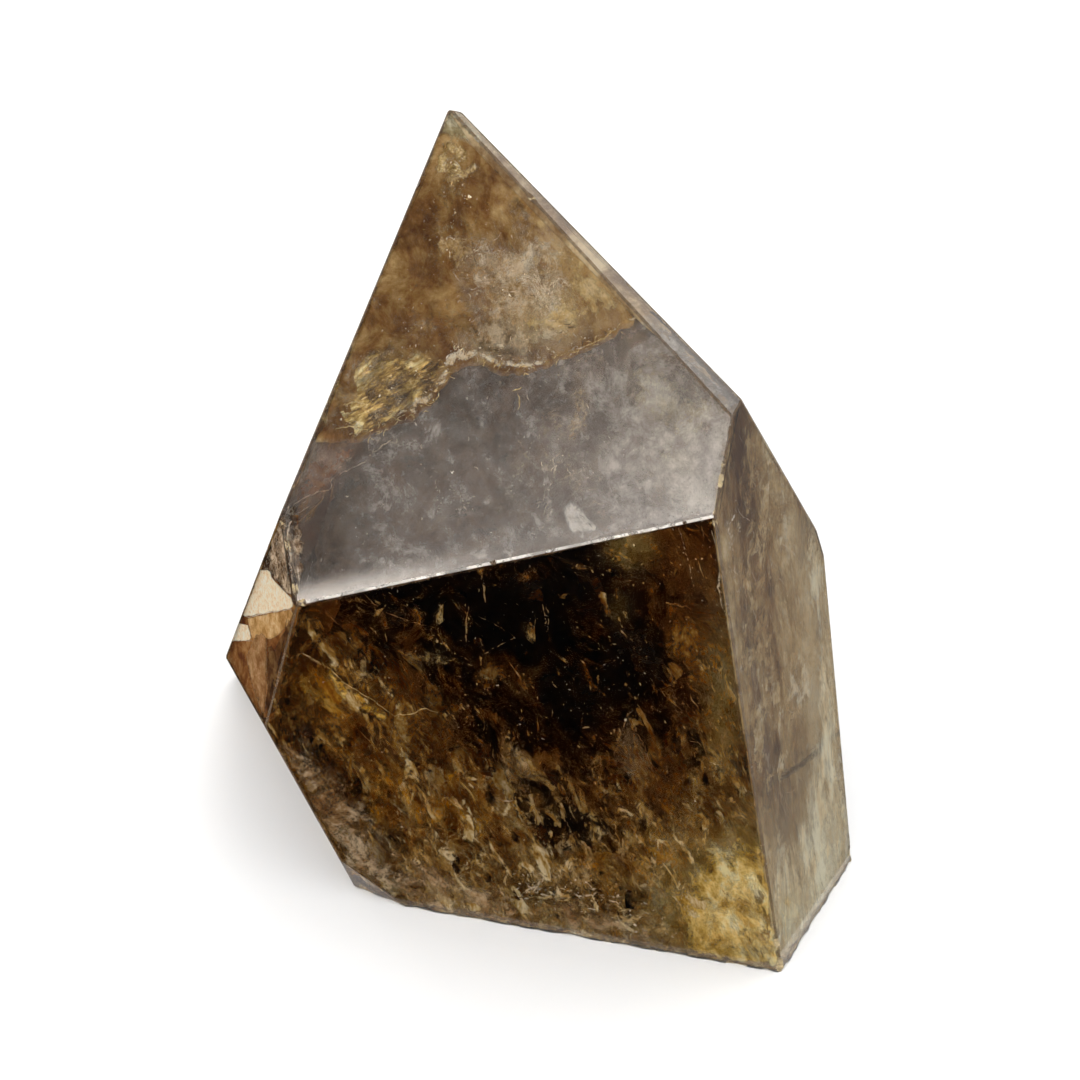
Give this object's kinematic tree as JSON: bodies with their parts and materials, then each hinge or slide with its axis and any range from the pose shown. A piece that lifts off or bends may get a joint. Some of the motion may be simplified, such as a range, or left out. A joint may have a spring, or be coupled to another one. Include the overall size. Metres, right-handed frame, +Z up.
{
  "type": "golden healer quartz point",
  "caption": "Free-standing polished quartz point of smoky golden see-through quartz, with a slanting faceted top, chunky prism sides and a sawn flat base.",
  "frame": {"origin": "on the sawn base, at the centre of the stone's bounding box seen from above", "axes": "+Z up, from the sawn base to the tip; -Y is the side of the large front prism face and the front slope above it; +X is the side of the tall right prism face"},
  "size_m": [0.059, 0.0566, 0.073],
  "materials": {
    "quartz": "natural smoky golden quartz, polished facets over a frosted sawn base, see-through with golden iron-oxide veils, healed cracks and bright flakes sealed inside"
  },
  "bodies": {
    "root": {"quartz_point": "quartz"}
  },
  "joints": []
}
